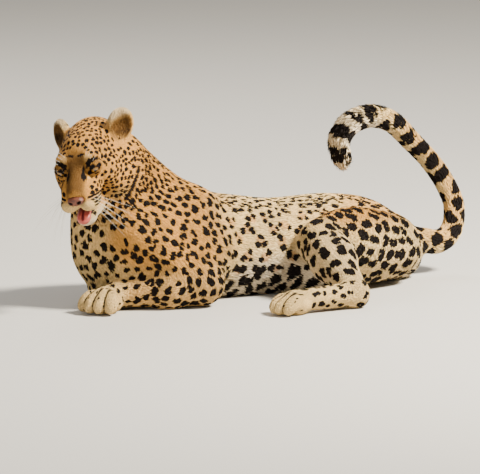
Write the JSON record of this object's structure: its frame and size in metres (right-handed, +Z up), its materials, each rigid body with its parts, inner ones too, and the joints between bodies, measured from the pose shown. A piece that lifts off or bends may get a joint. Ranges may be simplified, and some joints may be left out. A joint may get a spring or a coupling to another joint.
{
  "type": "leopard at rest",
  "caption": "Life-size still model of a leopard lying on its belly, head raised and turned, mouth a little open, tail curled up and forward.",
  "frame": {"origin": "middle of the bounding box at the level of the floor the animal lies on", "axes": "+X from the chest towards the tail, -Y the animal's left side, +Z up"},
  "size_m": [1.1186, 0.6478, 0.4572],
  "materials": {
    "coat": "short golden fur with black rosettes, paler below",
    "paws": "short buff fur with small dark marks",
    "eyes": "clear wet amber",
    "nose": "matt pinkish-brown skin",
    "tongue": "moist pink"
  },
  "bodies": {
    "root": {"torso": "coat", "neck": "coat", "head": "coat", "ear_left": "coat", "ear_right": "coat", "foreleg_left": "coat", "foreleg_right": "coat", "hindleg_left": "coat", "hindleg_right": "coat", "forepaw_left": "paws", "forepaw_right": "paws", "hindpaw_left": "paws", "hindpaw_right": "paws", "tail_root": "coat", "tail_rise": "coat", "tail_bend": "coat", "tail_tip": "coat", "eye_left": "eyes", "eye_right": "eyes", "nose": "nose", "tongue": "tongue"}
  },
  "joints": []
}
